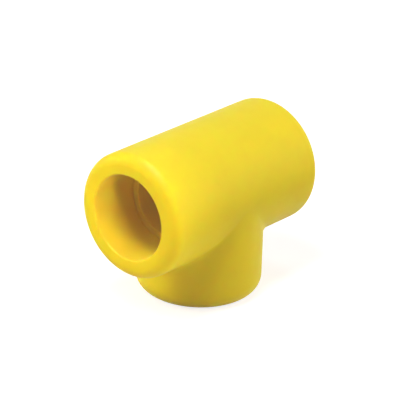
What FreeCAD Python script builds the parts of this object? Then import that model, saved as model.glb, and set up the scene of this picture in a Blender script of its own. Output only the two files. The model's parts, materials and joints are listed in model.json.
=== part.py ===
import FreeCAD, Part
import math
import os

import Sketcher
from FreeCAD import Vector

# Reducing tee for socket fusion of polyethylene pipe, moulded in one piece.
# The run lies along X and takes two equal pipes. The branch points down, along Z, and takes one
# smaller pipe. The tee stands on the end face of its branch, and the origin is the centre of that
# face. Every socket has a bevelled mouth, a straight land that grips the pipe and a ledge that
# stops it. Behind the ledge runs the waterway, about as wide as the pipe's own bore. The core pins
# that form the bores shut against each other, so the edges inside are crisp.

# Driving sizes in millimetres, each with what it measures
SIZES = [
    ("run_land", 31.2, "diameter of the land in a run socket, for 32 mm pipe"),
    ("run_depth", 20.0, "depth of a run socket, from its end face to its ledge"),
    ("run_centre", 9.4, "run waterway between a ledge and the branch waterway"),
    ("run_wall", 7.4, "wall of the run barrel round the land"),
    ("run_round", 4.0, "round on the outer edge of a run end"),
    ("branch_land", 24.2, "diameter of the land in the branch socket, for 25 mm pipe"),
    ("branch_depth", 18.0, "depth of the branch socket, from its end face to its ledge"),
    ("branch_centre", 8.4, "branch waterway between the ledge and the run waterway"),
    ("branch_inset", 0.15, "how far the side of the branch barrel lies inside the run barrel's"),
    ("branch_round", 6.5, "round on the outer edge of the branch end"),
    ("bevel_depth", 0.5, "depth of the bevel in each mouth"),
    ("bevel_rise", 0.3, "how far a bevel opens the mouth, on the radius"),
    ("ledge_width", 2.5, "width of each ledge"),
    ("crotch_round", 3.6, "round where the branch barrel leaves the run barrel"),
]

# Sizes that follow from the driving ones
RUN_LAND = "Sizes.run_land / 2"
RUN_WATERWAY = f"({RUN_LAND} - Sizes.ledge_width)"
RUN_OUTER = f"({RUN_LAND} + Sizes.run_wall)"
BRANCH_LAND = "Sizes.branch_land / 2"
BRANCH_WATERWAY = f"({BRANCH_LAND} - Sizes.ledge_width)"
BRANCH_OUTER = f"({RUN_OUTER} - Sizes.branch_inset)"
BRANCH_WALL = f"({BRANCH_OUTER} - {BRANCH_LAND})"
RUN_LEDGE = f"({BRANCH_WATERWAY} + Sizes.run_centre)"
RUN_END = f"({RUN_LEDGE} + Sizes.run_depth)"
AXIS_HEIGHT = f"({RUN_WATERWAY} + Sizes.branch_centre + Sizes.branch_depth)"

# The most of its wall that the round on an end takes
END_SHARE = 0.65

ALONG_RUN = Vector(1, 0, 0)
ALONG_BRANCH = Vector(0, 0, 1)
CLOSE = 1e-4


def make_sheet(doc):
    """Writes the driving sizes into a sheet: name, value and note, one row each."""
    sheet = doc.addObject("Spreadsheet::Sheet", "Sizes")
    for row, (name, value, note) in enumerate(SIZES, start=1):
        sheet.set(f"A{row}", name)
        sheet.set(f"B{row}", str(value))
        sheet.setAlias(f"B{row}", name)
        sheet.set(f"C{row}", note)
    doc.recompute()
    return sheet


def measure(sheet, expression):
    """Gives the number that an expression of the sheet's sizes comes to."""
    return float(sheet.evalExpression(expression))


def origin_plane(body, role):
    """Finds one of the body's own origin planes."""
    return next(plane for plane in body.Origin.OriginFeatures if plane.Role == role)


def new_sketch(body, name, role, height=None):
    """Lays a sketch on an origin plane of the body, raised to a height where one is given."""
    sketch = body.newObject("Sketcher::SketchObject", name)
    sketch.AttachmentSupport = (origin_plane(body, role), [""])
    sketch.MapMode = "FlatFace"
    if height:
        sketch.setExpression("AttachmentOffset.Base.y", height)
    return sketch


def add_size(sketch, name, constraint, expression):
    """Adds a named size to a sketch and ties it to its expression."""
    number = sketch.addConstraint(constraint)
    sketch.renameConstraint(number, name)
    sketch.setExpression(f"Constraints.{name}", expression)


def draw_circle(sheet, sketch, radius):
    """Draws a circle about the sketch's origin."""
    value = measure(sheet, radius)
    sketch.addGeometry(Part.Circle(Vector(0, 0, 0), Vector(0, 0, 1), value), False)
    sketch.addConstraint(Sketcher.Constraint("Coincident", 0, 3, -1, 1))
    add_size(sketch, "radius", Sketcher.Constraint("Radius", 0, value), radius)


def draw_outline(sheet, sketch, corners):
    """Draws a closed outline of straight lines.

    Each corner is a name, an expression for its x and one for its y, neither of them below 0.
    A corner with the same x or y as the one before it stays in line with it. "0" lies on an axis.
    """
    points = [Vector(measure(sheet, x), measure(sheet, y), 0) for name, x, y in corners]
    count = len(corners)
    for index in range(count):
        line = Part.LineSegment(points[index], points[(index + 1) % count])
        sketch.addGeometry(line, False)
    for index, (name, x, y) in enumerate(corners):
        before = (index - 1) % count
        sketch.addConstraint(Sketcher.Constraint("Coincident", before, 2, index, 1))
        if x == corners[before][1]:
            sketch.addConstraint(Sketcher.Constraint("Vertical", before))
        elif x == "0":
            sketch.addConstraint(Sketcher.Constraint("PointOnObject", index, 1, -2))
        else:
            size = Sketcher.Constraint("DistanceX", -1, 1, index, 1, points[index].x)
            add_size(sketch, f"{name}_x", size, x)
        if y == corners[before][2]:
            sketch.addConstraint(Sketcher.Constraint("Horizontal", before))
        elif y == "0":
            sketch.addConstraint(Sketcher.Constraint("PointOnObject", index, 1, -1))
        else:
            size = Sketcher.Constraint("DistanceY", -1, 1, index, 1, points[index].y)
            add_size(sketch, f"{name}_y", size, y)


def add_pad(body, name, sketch, length, midplane):
    """Pads a sketch to a length, on both sides of its plane or on its upper side."""
    pad = body.newObject("PartDesign::Pad", name)
    pad.Profile = sketch
    pad.Midplane = midplane
    pad.setExpression("Length", length)
    body.Document.recompute()
    return pad


def add_groove(body, name, sketch, axis):
    """Turns a sketch once round one of its own axes and cuts it away."""
    groove = body.newObject("PartDesign::Groove", name)
    groove.Profile = sketch
    groove.ReferenceAxis = (sketch, [axis])
    groove.Angle = 360
    body.Document.recompute()
    return groove


def add_round(body, name, edges, radius):
    """Rounds the named edges of the body's last feature."""
    base = body.Tip
    fillet = body.newObject("PartDesign::Fillet", name)
    fillet.Base = (base, edges)
    fillet.setExpression("Radius", radius)
    body.Document.recompute()
    return fillet


def ring_edges(shape, axis, radius, station):
    """Names the circles of one radius that stand at one distance from the origin along an axis."""
    names = []
    for number, edge in enumerate(shape.Edges, start=1):
        curve = edge.Curve
        if not isinstance(curve, Part.Circle) or abs(curve.Axis.dot(axis)) < 1 - CLOSE:
            continue
        there = abs(abs(curve.Center.dot(axis)) - station) < CLOSE
        if there and abs(curve.Radius - radius) < CLOSE:
            names.append(f"Edge{number}")
    return names


def meeting_edges(shape, radius, height):
    """Names the curves that two crossing barrels share, on the one of a radius along the run."""
    names = []
    for number, edge in enumerate(shape.Edges, start=1):
        if isinstance(edge.Curve, (Part.Circle, Part.Line)):
            continue
        points = edge.discretize(5)
        if all(abs(math.hypot(p.y, p.z - height) - radius) < 0.01 for p in points):
            names.append(f"Edge{number}")
    return names


def make_tee(doc, sheet):
    """Makes the tee as one body: two barrels, their blend, the end rounds and the stepped bores."""
    body = doc.addObject("PartDesign::Body", "tee_body")
    body.Label = "tee_body"
    height = measure(sheet, AXIS_HEIGHT)

    # Outside
    run_section = new_sketch(body, "run_section", "YZ_Plane", AXIS_HEIGHT)
    draw_circle(sheet, run_section, RUN_OUTER)
    add_pad(body, "run_barrel", run_section, f"2 * {RUN_END}", True)

    branch_section = new_sketch(body, "branch_section", "XY_Plane")
    draw_circle(sheet, branch_section, BRANCH_OUTER)
    add_pad(body, "branch_barrel", branch_section, AXIS_HEIGHT, False)

    shape = body.Tip.Shape
    crotch = meeting_edges(shape, measure(sheet, RUN_OUTER), height)
    add_round(body, "crotch_blend", crotch, "Sizes.crotch_round")

    shape = body.Tip.Shape
    ends = ring_edges(shape, ALONG_RUN, measure(sheet, RUN_OUTER), measure(sheet, RUN_END))
    add_round(body, "run_end_rounds", ends, f"min(Sizes.run_round; {END_SHARE} * Sizes.run_wall)")

    shape = body.Tip.Shape
    ends = ring_edges(shape, ALONG_BRANCH, measure(sheet, BRANCH_OUTER), 0)
    add_round(body, "branch_end_round", ends, f"min(Sizes.branch_round; {END_SHARE} * {BRANCH_WALL})")

    # Half of the run's stepped bore, from the middle out to one mouth, and its mirror image
    run_bore_half = new_sketch(body, "run_bore_half", "XZ_Plane", AXIS_HEIGHT)
    draw_outline(sheet, run_bore_half, [
        ("middle", "0", "0"),
        ("waterway", "0", RUN_WATERWAY),
        ("ledge", RUN_LEDGE, RUN_WATERWAY),
        ("root", RUN_LEDGE, RUN_LAND),
        ("bevel", f"{RUN_END} - Sizes.bevel_depth", RUN_LAND),
        ("mouth", RUN_END, f"{RUN_LAND} + Sizes.bevel_rise"),
        ("end", RUN_END, "0"),
    ])
    half = add_groove(body, "run_socket", run_bore_half, "H_Axis")
    mirror = body.newObject("PartDesign::Mirrored", "run_sockets")
    mirror.Originals = [half]
    mirror.MirrorPlane = (origin_plane(body, "YZ_Plane"), [""])
    body.Tip = mirror
    doc.recompute()

    # The branch's stepped bore, from its mouth up into the run
    branch_bore = new_sketch(body, "branch_bore", "XZ_Plane")
    draw_outline(sheet, branch_bore, [
        ("centre", "0", "0"),
        ("mouth", f"{BRANCH_LAND} + Sizes.bevel_rise", "0"),
        ("bevel", BRANCH_LAND, "Sizes.bevel_depth"),
        ("root", BRANCH_LAND, "Sizes.branch_depth"),
        ("ledge", BRANCH_WATERWAY, "Sizes.branch_depth"),
        ("waterway", BRANCH_WATERWAY, AXIS_HEIGHT),
        ("middle", "0", AXIS_HEIGHT),
    ])
    add_groove(body, "branch_socket", branch_bore, "V_Axis")
    body.Placement = FreeCAD.Placement()
    return body


def check_document(doc, bodies):
    """Stops if a feature has failed or changes nothing, or a body is not one valid solid."""
    for feature in doc.Objects:
        if "Invalid" in feature.State or "Error" in feature.State:
            raise RuntimeError(f"{feature.Name} has failed")
    for body in bodies:
        volume = 0
        for feature in body.Group:
            if not feature.isDerivedFrom("PartDesign::Feature"):
                continue
            if abs(feature.Shape.Volume - volume) < CLOSE:
                raise RuntimeError(f"{feature.Name} changes nothing")
            volume = feature.Shape.Volume
        shape = body.Shape
        if shape.isNull() or not shape.isValid() or len(shape.Solids) != 1:
            raise RuntimeError(f"{body.Label} is not one valid solid")


def main():
    """Builds the tee, checks it and writes it to parts/."""
    doc = FreeCAD.newDocument("reducing_tee")
    sheet = make_sheet(doc)
    bodies = [make_tee(doc, sheet)]
    doc.recompute()
    check_document(doc, bodies)
    os.makedirs("parts", exist_ok=True)
    for body in bodies:
        body.Shape.exportStep(f"parts/{body.Label}.step")
        box = body.Shape.BoundBox
        print(f"{body.Label}: {box.XLength:.2f} x {box.YLength:.2f} x {box.ZLength:.2f} mm,"
              f" {body.Shape.Volume / 1000:.2f} cm3")


main()
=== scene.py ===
"""Yellow socket fusion reducing tee: the visible model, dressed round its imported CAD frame.

Lengths are in metres and follow the row frame. The run lies along X, the branch points down
along Z, and the tee stands on the end face of its branch.
"""

import json
import logging
import math
from dataclasses import dataclass, field
from enum import Enum
from typing import Any

import bpy
import numpy as np
from mathutils import Matrix, Vector


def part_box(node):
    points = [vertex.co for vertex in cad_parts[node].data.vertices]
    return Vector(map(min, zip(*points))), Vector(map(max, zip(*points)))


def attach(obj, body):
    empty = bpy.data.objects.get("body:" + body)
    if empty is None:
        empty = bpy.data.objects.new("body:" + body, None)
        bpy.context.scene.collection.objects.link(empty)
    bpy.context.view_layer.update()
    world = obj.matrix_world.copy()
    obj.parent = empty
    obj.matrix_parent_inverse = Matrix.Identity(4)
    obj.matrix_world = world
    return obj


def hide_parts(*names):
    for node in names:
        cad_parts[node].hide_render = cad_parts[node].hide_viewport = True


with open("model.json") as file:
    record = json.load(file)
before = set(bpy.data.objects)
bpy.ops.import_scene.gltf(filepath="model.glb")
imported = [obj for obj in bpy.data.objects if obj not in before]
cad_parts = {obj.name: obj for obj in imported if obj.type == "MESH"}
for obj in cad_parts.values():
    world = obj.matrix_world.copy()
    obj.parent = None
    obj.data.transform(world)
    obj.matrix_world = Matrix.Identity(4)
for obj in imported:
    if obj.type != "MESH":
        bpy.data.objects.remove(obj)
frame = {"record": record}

NODE = "tee_body"
MM = 0.001
CUBIC_CM = 1e-6
NOISE_SPAN = (0.3, 0.7)
LOG = logging.getLogger("tee")

Colour = tuple[float, float, float]


class Side(Enum):
    """Which way a run end faces along X."""

    LEFT = -1.0
    RIGHT = 1.0


class Reach(Enum):
    """The part of a finish that a lamp works on."""

    WHOLE = "whole"
    MATT = "matt"
    GLOSS = "gloss"


class SkinMap(Enum):
    """Values kept with the points of the mesh, for the finish."""

    BORE = "bore_share"
    DRAW = "draw_place"


def eased(steps: int) -> np.ndarray:
    """Shares of a run, close together near both of its ends.

    In words: half of one minus the cosine of a half turn, walked in equal steps.

    Args:
        steps: How many parts the run is cut into.

    Returns:
        Rising shares from 0 to 1, one more than the steps.
    """
    return (1.0 - np.cos(np.linspace(0.0, math.pi, steps + 1))) / 2.0


def smooth_rise(share: np.ndarray) -> np.ndarray:
    """Turns even shares into an S curve that is level at 0 and at 1: 3 s² - 2 s³."""
    return share * share * (3.0 - 2.0 * share)


@dataclass(frozen=True)
class Corner:
    """One corner of a half section, with the round that eases it.

    Attributes:
        along: Place along the axis.
        radius: Distance from the axis.
        round: Radius of the round.
        arc_steps: Steps round the arc.
        run_steps: Steps on the straight run that follows it.
    """

    along: float
    radius: float
    round: float = 0.0
    arc_steps: int = 6
    run_steps: int = 4

    def place(self) -> np.ndarray:
        """Gives the corner as a point of the half section."""
        return np.array([self.along, self.radius])


def corner_arc(before: Corner, corner: Corner, after: Corner) -> np.ndarray:
    """Arc that eases one corner of a half section.

    In words: the arc starts round times tan(half turn) before its corner, and its centre lies one
    round to the side that the section turns to. A point of the arc is the centre, plus round
    times sin(turned) along the first run, minus round times cos(turned) towards the centre.

    Args:
        before: The corner that the section comes from.
        corner: The corner that is eased.
        after: The corner that the section goes to.

    Returns:
        Points of the arc, one row each: along the axis, and from the axis.
    """
    into, out = corner.place() - before.place(), after.place() - corner.place()
    into, out = into / np.linalg.norm(into), out / np.linalg.norm(out)
    cross = into[0] * out[1] - into[1] * out[0]
    turn = math.atan2(abs(cross), float(into @ out))
    inward = np.array([-into[1], into[0]]) * math.copysign(1.0, cross)
    centre = corner.place() - into * corner.round * math.tan(turn / 2.0) + inward * corner.round
    turned = np.linspace(0.0, turn, corner.arc_steps + 1)[:, None]
    return centre + corner.round * (into * np.sin(turned) - inward * np.cos(turned))


def rounded_section(corners: list[Corner]) -> np.ndarray:
    """Walks a half section from the start of its first arc to the end of its last.

    Args:
        corners: The corners in order. The first and the last only give directions.

    Returns:
        Points of the section, one row each: along the axis, and from the axis.
    """
    arcs = [corner_arc(*three) for three in zip(corners, corners[1:], corners[2:])]
    rows = arcs[:1]
    for corner, arc in zip(corners[1:], arcs[1:]):
        start = rows[-1][-1]
        rows += [start + (arc[0] - start) * eased(corner.run_steps)[1:-1, None], arc]
    return np.vstack(rows)


@dataclass(frozen=True)
class Socket:
    """One socket end of the tee, as a half section that is turned round its axis.

    Attributes:
        reach: From the middle of the tee to the end face.
        outer: Radius of the barrel.
        land: Radius of the land that grips the pipe.
        land_length: From the foot of the bevel to the ledge.
        waterway: Radius of the bore behind the ledge.
        end_round: Round on the barrel's outer edge.
        bevel_depth: Depth of the bevel in the mouth.
        bevel_rise: How far the bevel opens the mouth.
        lip_round: Round where the end face turns into the bevel.
        neck_round: Round where the bevel runs out into the land.
        root_round: Round at the foot of the ledge.
        ledge_round: Round on the ledge's edge.
    """

    reach: float
    outer: float
    land: float
    land_length: float
    waterway: float
    end_round: float
    bevel_depth: float = 0.5 * MM
    bevel_rise: float = 0.3 * MM
    lip_round: float = 0.5 * MM
    neck_round: float = 1.0 * MM
    root_round: float = 0.4 * MM
    ledge_round: float = 0.3 * MM

    @property
    def rim(self) -> float:
        """Radius at which the bevel meets the end face."""
        return self.land + self.bevel_rise

    @property
    def depth(self) -> float:
        """From the end face to the ledge."""
        return self.land_length + self.bevel_depth

    def half_section(self) -> np.ndarray:
        """Walks the end from the barrel's side, over the face and the ledge, into the waterway.

        Returns:
            Points of the section, one row each: along the axis, and from the axis.
        """
        ledge = self.reach - self.depth
        return rounded_section([
            Corner(0.0, self.outer),
            Corner(self.reach, self.outer, self.end_round, arc_steps=14, run_steps=5),
            Corner(self.reach, self.rim, self.lip_round, run_steps=3),
            Corner(self.reach - self.bevel_depth, self.land, self.neck_round, run_steps=16),
            Corner(ledge, self.land, self.root_round, arc_steps=5, run_steps=4),
            Corner(ledge, self.waterway, self.ledge_round, arc_steps=5),
            Corner(0.0, self.waterway),
        ])


@dataclass(frozen=True)
class Meeting:
    """Where an upright barrel runs into the underside of a level one, eased by a rolling ball.

    Attributes:
        upright: Radius of the upright barrel.
        level: Radius of the level barrel.
        height: Height of the level barrel's axis.
        ball: Radius of the ball that rolls along both barrels.
    """

    upright: float
    level: float
    height: float
    ball: float

    def level_angle(self, turn: np.ndarray) -> np.ndarray:
        """Angle round the level barrel, from its underside, at which the ball touches it.

        In words: the arc sine of sin(turn) times the upright barrel and the ball, over the level
        barrel and the ball.

        Args:
            turn: Angle round the upright barrel, from +X.

        Returns:
            One angle for each turn.
        """
        return np.arcsin(np.sin(turn) * (self.upright + self.ball) / (self.level + self.ball))

    def blend(self, turn: np.ndarray, steps: int) -> np.ndarray:
        """Surface that the ball leaves, from the upright barrel to the level one.

        In words: the ball's centre lies one ball outside both barrels, at the turn round the
        upright one. The two touching points give two directions from that centre, and the surface
        is the centre plus one ball along the directions between them, in equal angles.

        Args:
            turn: Angles round the upright barrel.
            steps: Steps from one barrel to the other.

        Returns:
            A grid of points: steps plus one rows, a column for each turn.
        """
        angle = self.level_angle(turn)
        flat, zero = self.upright + self.ball, np.zeros_like(turn)
        centre = np.stack([flat * np.cos(turn), flat * np.sin(turn),
                           self.height - (self.level + self.ball) * np.cos(angle)], axis=-1)
        to_upright = np.stack([-np.cos(turn), -np.sin(turn), zero], axis=-1)
        to_level = np.stack([zero, -np.sin(angle), np.cos(angle)], axis=-1)
        between = np.arccos(np.sum(to_upright * to_level, axis=-1))[None, :, None]
        share = np.linspace(0.0, 1.0, steps + 1)[:, None, None]
        way = np.sin((1.0 - share) * between) * to_upright + np.sin(share * between) * to_level
        return centre + self.ball * way / np.sin(between)


@dataclass(frozen=True)
class MouldSizes:
    """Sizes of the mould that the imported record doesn't give.

    Attributes:
        ledge_width: How far a ledge stands in from the land.
        branch_inset: How much less the branch barrel's radius is than the run's.
        run_end_round: Round on the outer edge of a run end.
        branch_end_round: Round on the outer edge of the branch end.
        crotch_round: Radius of the ball that eases the meeting of the barrels.
        core_round: Radius of the ball that eases the meeting of the waterways.
    """

    ledge_width: float = 2.5 * MM
    branch_inset: float = 0.15 * MM
    run_end_round: float = 4.0 * MM
    branch_end_round: float = 6.5 * MM
    crotch_round: float = 3.6 * MM
    core_round: float = 0.4 * MM


@dataclass(frozen=True)
class Lines:
    """How finely the tee's surface is drawn.

    Attributes:
        quarter: Lines in a quarter turn round the branch.
        crown: Lines over the top half of the run, above the meeting.
        skin: Steps along the outside of a barrel.
        bore: Steps along a waterway.
        crotch: Steps across the outer blend.
        core: Steps across the inner blend.
    """

    quarter: int = 48
    crown: int = 80
    skin: int = 22
    bore: int = 12
    crotch: int = 12
    core: int = 5


@dataclass(frozen=True)
class TeeBody:
    """The one moulded piece: two run ends and a branch that share one skin and one waterway.

    Its surface is three closed sheets. The branch sheet runs from the inner meeting down the
    waterway, round the branch mouth and up to the outer meeting. Each run sheet runs from the
    outer meeting round a run mouth to the inner meeting. They share their edge points, so
    nothing has to be sewn.

    Attributes:
        run: Section of the run ends.
        branch: Section of the branch end.
        crotch: Outer meeting of the barrels.
        core: Inner meeting of the waterways.
        lines: How finely the surface is drawn.
        bore_fade: Width of the ring round a mouth on which the bore's finish, with its painted
            shade, fades in.
        draw_squeeze: Share of its place along the axis that a draw place keeps.
    """

    run: Socket
    branch: Socket
    crotch: Meeting
    core: Meeting
    lines: Lines = field(default_factory=Lines)
    bore_fade: float = 0.5 * MM
    draw_squeeze: float = 0.05

    @classmethod
    def from_frame(cls, record: dict[str, Any], mould: MouldSizes) -> "TeeBody":
        """Takes the main sizes from the CAD box and from the record's mounts.

        Args:
            record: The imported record.
            mould: The sizes that the record doesn't give.

        Returns:
            The tee in its real size.
        """
        mounts = {mount["name"]: mount for mount in record["mounts"]}
        height = mounts["run_socket_b"]["pos_m"][2]
        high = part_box(NODE)[1]
        run_land, run_length = bore_size(mounts["run_socket_b"])
        run = Socket(reach=high.x, outer=high.y, land=run_land, land_length=run_length,
                     waterway=run_land - mould.ledge_width, end_round=mould.run_end_round)
        branch_land, branch_length = bore_size(mounts["branch_socket"])
        branch = Socket(reach=height, outer=high.y - mould.branch_inset,
                        land=branch_land, land_length=branch_length,
                        waterway=branch_land - mould.ledge_width,
                        end_round=mould.branch_end_round)
        return cls(run, branch,
                   crotch=Meeting(branch.outer, run.outer, height, mould.crotch_round),
                   core=Meeting(branch.waterway, run.waterway, height, mould.core_round))

    def turns(self) -> np.ndarray:
        """Angles of the lines round the branch, from -Y through +X, a full turn."""
        count = 4 * self.lines.quarter
        return -math.pi / 2.0 + np.arange(count) * (2.0 * math.pi / count)

    def branch_sheet(self) -> np.ndarray:
        """Surface of the branch, from the inner meeting round the mouth to the outer one.

        In words: a point stands at its turn round Z. The section's radius is its distance from Z,
        and its height is the run axis minus the section's place along the branch. The waterway
        and the skin fill the height between a meeting's edge and the section in eased shares.

        Returns:
            A grid of points, closed in its columns.
        """
        turn = self.turns()
        section = self.branch.half_section()[::-1]
        radius = np.repeat(section[:, 1:], turn.size, axis=1)
        height = self.branch.reach - section[:, :1]
        rows = np.stack([radius * np.cos(turn), radius * np.sin(turn),
                         np.repeat(height, turn.size, axis=1)], axis=-1)
        inner = self.core.blend(turn, self.lines.core)[::-1]
        outer = self.crotch.blend(turn, self.lines.crotch)
        bore_share = eased(self.lines.bore)[1:-1, None, None]
        skin_share = eased(self.lines.skin)[1:-1, None, None]
        bore = inner[-1] + (rows[0] - inner[-1]) * bore_share
        skin = rows[-1] + (outer[0] - rows[-1]) * skin_share
        return np.concatenate([inner, bore, rows, skin, outer])

    def run_angles(self, meeting: Meeting) -> np.ndarray:
        """Angles of the lines round the run, from its underside, for one of the meetings.

        Args:
            meeting: The meeting whose edge the lower lines start from.

        Returns:
            Angles from -Y through the underside and +Y, then over the crown and back.
        """
        half = np.linspace(-math.pi / 2.0, math.pi / 2.0, 2 * self.lines.quarter + 1)
        lower = meeting.level_angle(half)
        crown = np.linspace(lower[-1], 2.0 * math.pi + lower[0], self.lines.crown + 1)
        return np.concatenate([lower, crown[1:-1]])

    def run_points(self, along: np.ndarray, radius: np.ndarray, angle: np.ndarray) -> np.ndarray:
        """Points round X: sine of the angle times the radius is y, minus its cosine lowers z."""
        along, radius, angle = np.broadcast_arrays(along, radius, angle)
        return np.stack([along, radius * np.sin(angle),
                         self.crotch.height - radius * np.cos(angle)], axis=-1)

    def crown_line(self, meeting: Meeting) -> np.ndarray:
        """Points over the crown at the middle of the run, that both run sheets share."""
        angle = self.run_angles(meeting)[2 * self.lines.quarter + 1:]
        return self.run_points(np.array(0.0), np.array(meeting.level), angle)

    def run_rows(self, side: Side, first: np.ndarray, last: np.ndarray) -> np.ndarray:
        """Inner rows of a run sheet, between its outer edge row and its inner edge row.

        In words: the section's radius and its place along X are turned round X. The lines drift
        from the outer meeting's angles to the inner one's in an S curve while they cross the
        section. The skin and the waterway fill the way to the edge rows in eased shares of X.

        Args:
            side: Which way the run end faces.
            first: Points of the outer edge row.
            last: Points of the inner edge row.

        Returns:
            A grid of points, closed in its columns, without the two edge rows.
        """
        section = self.run.half_section()
        outer, inner = self.run_angles(self.crotch), self.run_angles(self.core)
        share = smooth_rise(np.linspace(0.0, 1.0, len(section)))[:, None]
        rows = self.run_points(section[:, :1] * side.value, section[:, 1:],
                               outer + (inner - outer) * share)
        skin_share = eased(self.lines.skin)[1:-1, None, None]
        bore_share = eased(self.lines.bore)[1:-1, None, None]
        skin = first + (rows[0] - first) * skin_share
        bore = rows[-1] + (last - rows[-1]) * bore_share
        return np.concatenate([skin, rows, bore])

    def run_columns(self, side: Side) -> np.ndarray:
        """Columns of the branch sheet that a run sheet's lower lines start from."""
        columns = np.arange(2 * self.lines.quarter + 1)
        return columns if side is Side.RIGHT else (-columns) % (4 * self.lines.quarter)

    def build(self) -> bpy.types.Object:
        """Joins the three sheets by their shared edge points and puts them into one mesh.

        Returns:
            The visible tee.
        """
        branch = self.branch_sheet()
        numbers = np.arange(branch[..., 0].size).reshape(branch.shape[:2])
        points, quads = [branch.reshape(-1, 3)], [sheet_quads(numbers, flip=False)]
        count = upright = numbers.size
        crowns = []
        for meeting in (self.crotch, self.core):
            line = self.crown_line(meeting)
            crowns.append(np.arange(count, count + len(line)))
            points.append(line)
            count += len(line)
        for side in Side:
            columns = self.run_columns(side)
            first = np.concatenate([numbers[-1, columns], crowns[0]])
            last = np.concatenate([numbers[0, columns], crowns[1]])
            known = np.vstack(points)
            rows = self.run_rows(side, known[first], known[last])
            inner = np.arange(count, count + rows[..., 0].size).reshape(rows.shape[:2])
            quads.append(sheet_quads(np.vstack([first, inner, last]), flip=side is Side.LEFT))
            points.append(rows.reshape(-1, 3))
            count += inner.size
        every = np.vstack(points)
        piece = mesh_object("tee_moulding", every, np.vstack(quads))
        bore, draw = self.skin(every, upright)
        store(piece.data, SkinMap.BORE, bore)
        store(piece.data, SkinMap.DRAW, draw)
        return piece

    def skin(self, points: np.ndarray, upright: int) -> tuple[np.ndarray, np.ndarray]:
        """Marks the bores, and lays out the places that their draw lines are read at.

        In words: the bore share rises from 0 on the end face to 1 at the rim of the bevel, in an
        S curve of the distance from the socket's axis. A draw place is the point itself, pushed
        together along the axis, so that a texture read there is stretched lengthwise.

        Args:
            points: All points of the tee.
            upright: How many of them, from the first, belong to the branch.

        Returns:
            The bore share of each point, and its draw place.
        """
        level = np.hypot(points[:, 1], points[:, 2] - self.crotch.height)
        away = np.hypot(points[:, 0], points[:, 1])
        is_branch = np.arange(len(points)) < upright
        rim = np.where(is_branch, self.branch.rim - away, self.run.rim - level)
        bore = smooth_rise(np.clip(1.0 + rim / self.bore_fade, 0.0, 1.0))
        scale = np.where(is_branch[:, None], (1.0, 1.0, self.draw_squeeze),
                         (self.draw_squeeze, 1.0, 1.0))
        return bore, points * scale


def bore_size(mount: dict[str, Any]) -> tuple[float, float]:
    """Radius and length of a bore, from its mount in the record."""
    return mount["dims"]["r_mm"] * MM, mount["dims"]["length_mm"] * MM


def sheet_quads(numbers: np.ndarray, flip: bool) -> np.ndarray:
    """Four-sided faces of a sheet of numbered points that is closed in its columns.

    Args:
        numbers: Point numbers, rows by columns.
        flip: Turns the faces over.

    Returns:
        Four point numbers for each face.
    """
    after = np.roll(numbers, -1, axis=1)
    quads = np.stack([numbers[:-1], after[:-1], after[1:], numbers[1:]], axis=-1).reshape(-1, 4)
    return quads[:, ::-1] if flip else quads


def mesh_object(name: str, points: np.ndarray, faces: np.ndarray) -> bpy.types.Object:
    """Puts points and faces into a smooth mesh object at the origin.

    Args:
        name: Name of the piece.
        points: One row of x, y and z for each point.
        faces: One row of point numbers for each face.

    Returns:
        The object, linked to the scene.
    """
    mesh = bpy.data.meshes.new(name)
    mesh.from_pydata(points.tolist(), [], faces.tolist())
    mesh.validate()
    mesh.polygons.foreach_set("use_smooth", np.ones(len(faces), dtype=bool))
    mesh.update()
    made = bpy.data.objects.new(name, mesh)
    bpy.context.scene.collection.objects.link(made)
    return made


def store(mesh: bpy.types.Mesh, name: SkinMap, values: np.ndarray) -> None:
    """Keeps a number or a vector with each point of a mesh, for its finish.

    Args:
        mesh: The mesh.
        name: What the values are.
        values: One number, or one row of three, for each point.
    """
    kind, field_name = ("FLOAT", "value") if values.ndim == 1 else ("FLOAT_VECTOR", "vector")
    made = mesh.attributes.new(name.value, kind, "POINT")
    made.data.foreach_set(field_name, values.astype(np.float32).ravel())


def enclosed_volume(piece: bpy.types.Object) -> float:
    """Volume inside a closed mesh, positive where its faces point outwards.

    In words: a sixth of the sum, over all triangles, of the first corner dotted with the cross
    product of the other two.

    Args:
        piece: A mesh object.

    Returns:
        Cubic metres.
    """
    mesh = piece.data
    mesh.calc_loop_triangles()
    corners = np.zeros(len(mesh.loop_triangles) * 3, dtype=np.int32)
    mesh.loop_triangles.foreach_get("vertices", corners)
    places = np.zeros(len(mesh.vertices) * 3)
    mesh.vertices.foreach_get("co", places)
    first, second, third = places.reshape(-1, 3)[corners.reshape(-1, 3)].transpose(1, 0, 2)
    return float(np.sum(first * np.cross(second, third)) / 6.0)


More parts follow.
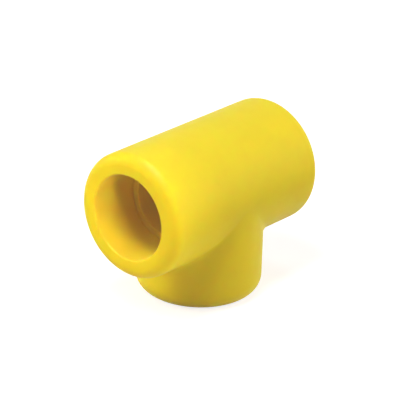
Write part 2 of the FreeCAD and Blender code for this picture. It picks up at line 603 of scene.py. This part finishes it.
@dataclass
class Shader:
    """The node tree of a material or a world while it is being wired.

    Attributes:
        owner: The material or the world.
    """

    owner: bpy.types.Material | bpy.types.World

    def __post_init__(self) -> None:
        """Empties the owner's node tree."""
        self.owner.use_nodes = True
        self.owner.node_tree.nodes.clear()

    def node(self, kind: str, place: tuple[float, float], **values: Any) -> bpy.types.Node:
        """Adds a node.

        Args:
            kind: The node's Blender type.
            place: Where it stands in the editor.
            **values: Properties of the node, and values of its inputs, whose spaces are written
                as underscores.

        Returns:
            The node.
        """
        made = self.owner.node_tree.nodes.new(kind)
        made.location = place
        for name, value in values.items():
            if hasattr(made, name):
                setattr(made, name, value)
            else:
                made.inputs[name.replace("_", " ")].default_value = value
        return made

    def link(self, source: bpy.types.NodeSocket, target: bpy.types.NodeSocket) -> None:
        """Wires an output to an input."""
        self.owner.node_tree.links.new(source, target)

    def noise(self, place: tuple[float, float], where: bpy.types.NodeSocket, size: float,
              detail: float) -> bpy.types.NodeSocket:
        """Adds a noise, most of which lies within NOISE_SPAN.

        Args:
            place: Where it stands in the editor.
            where: The place at which it is read.
            size: Width of one spot.
            detail: How many finer layers it has.

        Returns:
            The noise's value.
        """
        made = self.node("ShaderNodeTexNoise", place, Scale=1.0 / size, Detail=detail)
        self.link(where, made.inputs["Vector"])
        return made.outputs["Fac"]

    def ranged(self, place: tuple[float, float], value: bpy.types.NodeSocket,
               span: tuple[float, float], source: tuple[float, float] = NOISE_SPAN,
               ) -> bpy.types.NodeSocket:
        """Carries a value from one span over to another.

        Args:
            place: Where it stands in the editor.
            value: The value.
            span: What the ends of the source span become.
            source: The source span, by default that of a noise.

        Returns:
            The new value.
        """
        made = self.node("ShaderNodeMapRange", place, From_Min=source[0], From_Max=source[1],
                         To_Min=span[0], To_Max=span[1])
        self.link(value, made.inputs["Value"])
        return made.outputs["Result"]

    def sums(self, place: tuple[float, float], how: str, first: bpy.types.NodeSocket,
             second: bpy.types.NodeSocket) -> bpy.types.NodeSocket:
        """Works out one number from two.

        Args:
            place: Where it stands in the editor.
            how: Blender's name of the sum.
            first: The first number.
            second: The second number.

        Returns:
            The result.
        """
        made = self.node("ShaderNodeMath", place, operation=how)
        self.link(first, made.inputs[0])
        self.link(second, made.inputs[1])
        return made.outputs["Value"]

    def seen(self, place: tuple[float, float]) -> bpy.types.NodeSocket:
        """Gives 1 to the rays that show the surroundings, and 0 to those that light the tee.

        Args:
            place: Where it stands in the editor.

        Returns:
            1 for rays of the camera, of gloss and through glass.
        """
        path = self.node("ShaderNodeLightPath", place).outputs
        plain = self.sums((place[0] + 200, place[1]), "MAXIMUM", path["Is Camera Ray"],
                          path["Is Glossy Ray"])
        return self.sums((place[0] + 400, place[1]), "MAXIMUM", plain,
                         path["Is Transmission Ray"])

    def relief(self, place: tuple[float, float], height: bpy.types.NodeSocket, depth: float,
               below: bpy.types.NodeSocket | None = None) -> bpy.types.NodeSocket:
        """Raises the skin by a height map.

        Args:
            place: Where it stands in the editor.
            height: The height map, between 0 and 1.
            depth: How high 1 stands.
            below: The relief that it lies on.

        Returns:
            The normal.
        """
        made = self.node("ShaderNodeBump", place, Distance=depth)
        self.link(height, made.inputs["Height"])
        if below is not None:
            self.link(below, made.inputs["Normal"])
        return made.outputs["Normal"]


@dataclass(frozen=True)
class Grain:
    """One layer of unevenness.

    Attributes:
        size: Width of a spot.
        detail: How many finer layers it has.
        amount: How much it does.
    """

    size: float
    detail: float
    amount: float


@dataclass(frozen=True)
class PolyethyleneFinish:
    """Yellow moulded polyethylene: waxy, a little cloudy below the surface, satin on top.

    Attributes:
        colour: Its colour under white light.
        bore_shade_colour: Its colour in the bores, darker and browner than the outside: painted
            shade in the bores.
        roughness: How matt the outside is.
        bore_roughness: How matt the bores are.
        refraction: How strongly it bends light.
        gloss: Strength of its mirror part, where 0.5 is that of the plain material.
        cloud_depth: How far light wanders below the skin.
        cloud_tint: Shares of that depth for red, green and blue.
        painted_shade_glow: Faint white glow that the skin gives off all over: painted light that
            lifts its dark shades.
        clouds: Unevenness of the colour.
        mattness: Unevenness of the sheen.
        waves: Shallow waves that shrinkage leaves, as a height.
        satin: Fine grain of the mould's outer face, as a height.
        draw: Lines that the core leaves in the bores, as a height.
    """

    colour: Colour = (0.81, 0.63, 0.003)
    bore_shade_colour: Colour = (0.77, 0.54, 0.011)
    roughness: float = 0.45
    bore_roughness: float = 0.36
    refraction: float = 1.51
    gloss: float = 0.05
    cloud_depth: float = 5.0 * MM
    cloud_tint: Colour = (1.0, 0.55, 0.12)
    painted_shade_glow: float = 0.021
    clouds: Grain = Grain(13.0 * MM, 2.0, 0.025)
    mattness: Grain = Grain(3.5 * MM, 3.0, 0.05)
    waves: Grain = Grain(10.0 * MM, 1.0, 0.045 * MM)
    satin: Grain = Grain(0.35 * MM, 2.0, 0.008 * MM)
    draw: Grain = Grain(0.8 * MM, 3.0, 0.02 * MM)

    def tinted(self, shader: Shader, bore: bpy.types.NodeSocket,
               where: bpy.types.NodeSocket) -> bpy.types.NodeSocket:
        """Wires the colour: the outside's or the bore's, with faint clouds over both.

        Args:
            shader: The material that is being wired.
            bore: The bore share.
            where: The place on the object.

        Returns:
            The colour.
        """
        # The Mix node holds its colour inputs at 6 and 7, and its colour output at 2.
        both = shader.node("ShaderNodeMix", (-700, 300), data_type="RGBA")
        factor, outside, inside = both.inputs[0], both.inputs[6], both.inputs[7]
        outside.default_value = (*self.colour, 1.0)
        # The bore's colour is darker and browner than the outside's: painted shade in the bores.
        inside.default_value = (*self.bore_shade_colour, 1.0)
        shader.link(bore, factor)
        noise = shader.noise((-900, 500), where, self.clouds.size, self.clouds.detail)
        amount = self.clouds.amount
        value = shader.ranged((-700, 500), noise, (1.0 - amount, 1.0 + amount))
        made = shader.node("ShaderNodeHueSaturation", (-450, 350))
        shader.link(value, made.inputs["Value"])
        shader.link(both.outputs[2], made.inputs["Color"])
        return made.outputs["Color"]

    def matted(self, shader: Shader, bore: bpy.types.NodeSocket,
               where: bpy.types.NodeSocket) -> bpy.types.NodeSocket:
        """Wires the roughness: satin outside, smoother in the bore, and uneven on both.

        Args:
            shader: The material that is being wired.
            bore: The bore share.
            where: The place on the object.

        Returns:
            The roughness.
        """
        base = shader.ranged((-700, 50), bore, (self.roughness, self.bore_roughness), (0.0, 1.0))
        noise = shader.noise((-900, -100), where, self.mattness.size, self.mattness.detail)
        amount = self.mattness.amount
        return shader.sums((-450, 50), "ADD", base,
                           shader.ranged((-700, -100), noise, (-amount, amount)))

    def carved(self, shader: Shader, bore: bpy.types.NodeSocket, where: bpy.types.NodeSocket,
               draw_place: bpy.types.NodeSocket) -> bpy.types.NodeSocket:
        """Wires the relief: waves all over, satin grain outside, draw lines in the bores.

        Args:
            shader: The material that is being wired.
            bore: The bore share.
            where: The place on the object.
            draw_place: The place that draw lines are read at.

        Returns:
            The normal.
        """
        waves = shader.noise((-900, -350), where, self.waves.size, self.waves.detail)
        normal = shader.relief((-450, -350), waves, self.waves.amount)
        satin = shader.noise((-900, -550), where, self.satin.size, self.satin.detail)
        outside = shader.ranged((-900, -700), bore, (1.0, 0.0), (0.0, 1.0))
        satin = shader.sums((-700, -550), "MULTIPLY", satin, outside)
        normal = shader.relief((-450, -550), satin, self.satin.amount, normal)
        lines = shader.noise((-900, -850), draw_place, self.draw.size, self.draw.detail)
        lines = shader.sums((-700, -850), "MULTIPLY", lines, bore)
        return shader.relief((-450, -850), lines, self.draw.amount, normal)

    def build(self) -> bpy.types.Material:
        """Wires the finish.

        Returns:
            The material.
        """
        material = bpy.data.materials.new("moulded_yellow_polyethylene")
        shader = Shader(material)
        where = shader.node("ShaderNodeTexCoord", (-1200, 0)).outputs["Object"]
        bore = shader.node("ShaderNodeAttribute", (-1200, 300),
                           attribute_name=SkinMap.BORE.value).outputs["Fac"]
        draw_place = shader.node("ShaderNodeAttribute", (-1200, -850),
                                 attribute_name=SkinMap.DRAW.value).outputs["Vector"]
        # The emission is a faint white glow over the whole skin: painted light that lifts its
        # dark shades.
        body = shader.node("ShaderNodeBsdfPrincipled", (0, 0), IOR=self.refraction,
                           Specular_IOR_Level=self.gloss, Subsurface_Weight=1.0,
                           Subsurface_Radius=self.cloud_tint, Subsurface_Scale=self.cloud_depth,
                           Emission_Color=(1.0, 1.0, 1.0, 1.0), Emission_Strength=self.painted_shade_glow)
        shader.link(self.tinted(shader, bore, where), body.inputs["Base Color"])
        shader.link(self.matted(shader, bore, where), body.inputs["Roughness"])
        shader.link(self.carved(shader, bore, where, draw_place), body.inputs["Normal"])
        out = shader.node("ShaderNodeOutputMaterial", (300, 0))
        shader.link(body.outputs["BSDF"], out.inputs["Surface"])
        return material


@dataclass(frozen=True)
class Softbox:
    """A soft studio lamp that looks towards the middle of the tee, or past it.

    Attributes:
        name: Its name.
        elevation: How high it stands, in degrees.
        distance: How far from the tee.
        width: Width of its face.
        height: Height of its face.
        watts: Its power.
        shift: How far it stands to its right, seen from behind it, without turning.
        sink: How far it stands lower, without turning.
        spread: Widest angle that its grid lets through, in degrees.
        reach: The part of a finish that it works on.
    """

    name: str
    azimuth: float
    elevation: float
    distance: float
    width: float
    height: float
    watts: float
    shift: float = 0.0
    sink: float = 0.0
    spread: float = 180.0
    reach: Reach = Reach.WHOLE

    def build(self, centre: Vector) -> None:
        """Hangs the lamp.

        Args:
            centre: The point that it looks at where it isn't shifted.
        """
        back = direction(math.radians(self.azimuth), math.radians(self.elevation))
        lamp = bpy.data.lights.new(self.name, "AREA")
        lamp.shape, lamp.size, lamp.size_y = "RECTANGLE", self.width, self.height
        lamp.energy, lamp.spread = self.watts, math.radians(self.spread)
        made = bpy.data.objects.new(self.name, lamp)
        made.matrix_world = standing(centre + back * self.distance, back)
        right, up, _ = made.matrix_world.to_3x3().col
        made.location += right * self.shift - up * self.sink
        made.visible_diffuse = self.reach is not Reach.GLOSS
        made.visible_glossy = self.reach is not Reach.MATT
        bpy.context.scene.collection.objects.link(made)


def standing(place: Vector, back: Vector) -> Matrix:
    """Matrix of a lamp or a camera that stands upright and looks against a direction.

    Args:
        place: Where it stands.
        back: Unit direction from what it looks at.

    Returns:
        Its matrix: X points to its right, Y up and Z back.
    """
    right = Vector((0.0, 0.0, 1.0)).cross(back).normalized()
    turned = Matrix((right, back.cross(right), back)).transposed().to_4x4()
    return Matrix.Translation(place) @ turned


def direction(azimuth: float, elevation: float) -> Vector:
    """Unit direction away from the tee: azimuth 0 is -Y, and 90 degrees is +X."""
    return Vector((math.sin(azimuth) * math.cos(elevation),
                   -math.cos(azimuth) * math.cos(elevation), math.sin(elevation)))


@dataclass(frozen=True)
class PhotoCamera:
    """The camera at the photograph's angle.

    Attributes:
        azimuth: Where it stands round the tee, in degrees.
        elevation: How high it stands, in degrees.
        roll: How far it leans, in degrees.
        distance: From the run's middle to the lens.
        lens_mm: Focal length.
        sensor_mm: Width of the sensor.
        clip: Nearest and farthest distance that it sees.
        aim_right: How far right of the run's middle it looks.
        aim_up: How far above it.
    """

    azimuth: float = -49.594
    elevation: float = 23.664
    roll: float = 1.803
    distance: float = 0.9662
    lens_mm: float = 243.5
    sensor_mm: float = 36.0
    clip: tuple[float, float] = (0.01, 100.0)
    aim_right: float = -0.24 * MM
    aim_up: float = -4.97 * MM

    def build(self, middle: Vector) -> None:
        """Stands the camera and makes it the scene's own.

        Args:
            middle: Where the tee's axes cross.
        """
        back = direction(math.radians(self.azimuth), math.radians(self.elevation))
        place = middle + back * self.distance
        right, up, _ = standing(place, back).to_3x3().col
        aim = middle + right * self.aim_right + up * self.aim_up
        data = bpy.data.cameras.new("photo_camera")
        data.lens, data.sensor_width = self.lens_mm, self.sensor_mm
        data.clip_start, data.clip_end = self.clip
        made = bpy.data.objects.new("photo_camera", data)
        lean = Matrix.Rotation(math.radians(self.roll), 4, "Z")
        made.matrix_world = standing(place, (place - aim).normalized()) @ lean
        bpy.context.scene.collection.objects.link(made)
        bpy.context.scene.camera = made


@dataclass(frozen=True)
class Studio:
    """Pale floor, white surroundings and soft lamps.

    Attributes:
        floor_radius: Radius of the round floor.
        floor_sides: How many sides its edge has.
        floor_colour: Colour of the floor, a warm grey.
        floor_lift: White that is only seen on the floor near the tee, so that it reads white.
        lift_span: Where the lift starts to rise, and where it has risen to full white.
        lamps: The soft lamps.
    """

    floor_radius: float = 3.0
    floor_sides: int = 64
    floor_colour: Colour = (0.54, 0.49, 0.46)
    floor_lift: float = 0.78
    lift_span: tuple[float, float] = (0.15, 0.8)
    lamps: tuple[Softbox, ...] = (
        Softbox("overhead_lamp", azimuth=-77.0, elevation=69.0, distance=1.3,
                width=0.3, height=0.3, watts=7.9),
        Softbox("crown_lamp", azimuth=62.0, elevation=76.0, distance=1.3,
                width=0.25, height=0.25, watts=1.4),
        Softbox("left_key_softbox", azimuth=-100.0, elevation=57.0, distance=1.3,
                width=0.9, height=0.9, watts=6.0),
        Softbox("left_back_softbox", azimuth=-150.0, elevation=15.0, distance=1.3,
                width=0.6, height=0.5, watts=6.6),
        Softbox("front_right_softbox", azimuth=25.0, elevation=12.0, distance=1.3,
                width=0.9, height=0.5, watts=2.4),
        Softbox("right_softbox", azimuth=40.0, elevation=20.0, distance=1.3,
                width=1.5, height=1.0, watts=8.6),
        Softbox("near_end_panel", azimuth=-12.0, elevation=10.0, distance=0.4,
                width=0.18, height=0.12, watts=0.080, shift=-0.15, spread=20.0,
                reach=Reach.MATT),
        Softbox("near_end_lamp", azimuth=-22.0, elevation=30.0, distance=0.4,
                width=0.06, height=0.12, watts=0.025, shift=-0.09, spread=20.0,
                reach=Reach.MATT),
        Softbox("near_end_strip", azimuth=-16.0, elevation=14.0, distance=0.4,
                width=0.06, height=0.12, watts=0.011, shift=-0.09, spread=20.0,
                reach=Reach.MATT),
        Softbox("branch_strip", azimuth=-150.0, elevation=0.0, distance=0.35,
                width=0.06, height=0.01, watts=0.0014, sink=0.031, spread=4.0,
                reach=Reach.MATT),
        Softbox("highlight_strip", azimuth=0.0, elevation=86.0, distance=0.52,
                width=0.32, height=0.16, watts=10.0, shift=-0.05,
                reach=Reach.GLOSS),
    )

    def floor_material(self) -> bpy.types.Material:
        """Wires a white floor that keeps its shadow and can be seen through from below.

        Returns:
            The material.
        """
        material = bpy.data.materials.new("studio_floor")
        shader = Shader(material)
        matt = shader.node("ShaderNodeBsdfDiffuse", (0, 0), Color=(*self.floor_colour, 1.0))
        where = shader.node("ShaderNodeTexCoord", (-800, -150)).outputs["Object"]
        away = shader.node("ShaderNodeVectorMath", (-600, -150), operation="LENGTH")
        shader.link(where, away.inputs[0])
        lift = shader.ranged((-400, -150), away.outputs["Value"], (self.floor_lift, 1.0),
                             self.lift_span)
        glow = shader.node("ShaderNodeEmission", (0, -150))
        shader.link(lift, glow.inputs["Strength"])
        both = shader.node("ShaderNodeAddShader", (200, -50))
        mixed = shader.node("ShaderNodeMixShader", (400, 0))
        shader.link(matt.outputs[0], both.inputs[0])
        shader.link(glow.outputs[0], both.inputs[1])
        shader.link(shader.seen((-200, 350)), mixed.inputs[0])
        shader.link(matt.outputs[0], mixed.inputs[1])
        shader.link(both.outputs[0], mixed.inputs[2])
        clear = shader.node("ShaderNodeBsdfTransparent", (400, -200))
        side = shader.node("ShaderNodeNewGeometry", (400, 350))
        whole = shader.node("ShaderNodeMixShader", (600, 0))
        shader.link(side.outputs["Backfacing"], whole.inputs[0])
        shader.link(mixed.outputs[0], whole.inputs[1])
        shader.link(clear.outputs[0], whole.inputs[2])
        out = shader.node("ShaderNodeOutputMaterial", (800, 0))
        shader.link(whole.outputs[0], out.inputs["Surface"])
        return material

    def build_floor(self) -> None:
        """Lays the floor, one many-sided face under the tee.

        In words: its corners stand at the floor's radius, in equal turns round Z.
        """
        count = np.arange(self.floor_sides)
        turn = count * (2.0 * math.pi / self.floor_sides)
        rim = np.stack([np.cos(turn), np.sin(turn), np.zeros_like(turn)], axis=-1)
        floor = mesh_object("studio_floor", rim * self.floor_radius, count[None, :])
        floor.data.materials.append(self.floor_material())

    def build_world(self) -> None:
        """Makes white surroundings that are seen, but give no light of their own."""
        world = bpy.data.worlds.new("studio_world")
        shader = Shader(world)
        backdrop = shader.node("ShaderNodeBackground", (400, 0), Color=(1.0, 1.0, 1.0, 1.0))
        shader.link(shader.seen((-200, 0)), backdrop.inputs["Strength"])
        out = shader.node("ShaderNodeOutputWorld", (600, 0))
        shader.link(backdrop.outputs[0], out.inputs["Surface"])
        bpy.context.scene.world = world

    def build(self, middle: Vector) -> None:
        """Builds the whole set.

        Args:
            middle: Where the tee's axes cross.
        """
        self.build_floor()
        self.build_world()
        for lamp in self.lamps:
            lamp.build(middle)
        bpy.context.scene.view_settings.view_transform = "Standard"


def main() -> None:
    """Builds the visible tee, its finish and the studio."""
    logging.basicConfig(level=logging.INFO, format="%(name)s: %(message)s")
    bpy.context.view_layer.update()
    tee = TeeBody.from_frame(frame["record"], MouldSizes())
    piece = tee.build()
    piece.data.materials.append(PolyethyleneFinish().build())
    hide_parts("tee_body")
    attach(piece, "root")
    LOG.info("%s: %d faces, %.2f cm3", piece.name, len(piece.data.polygons),
             enclosed_volume(piece) / CUBIC_CM)
    middle = Vector((0.0, 0.0, tee.crotch.height))
    PhotoCamera().build(middle)
    studio = Studio()
    studio.build(middle)
    LOG.info("studio: the floor and %d lamps", len(studio.lamps))


if __name__ == "__main__":
    main()
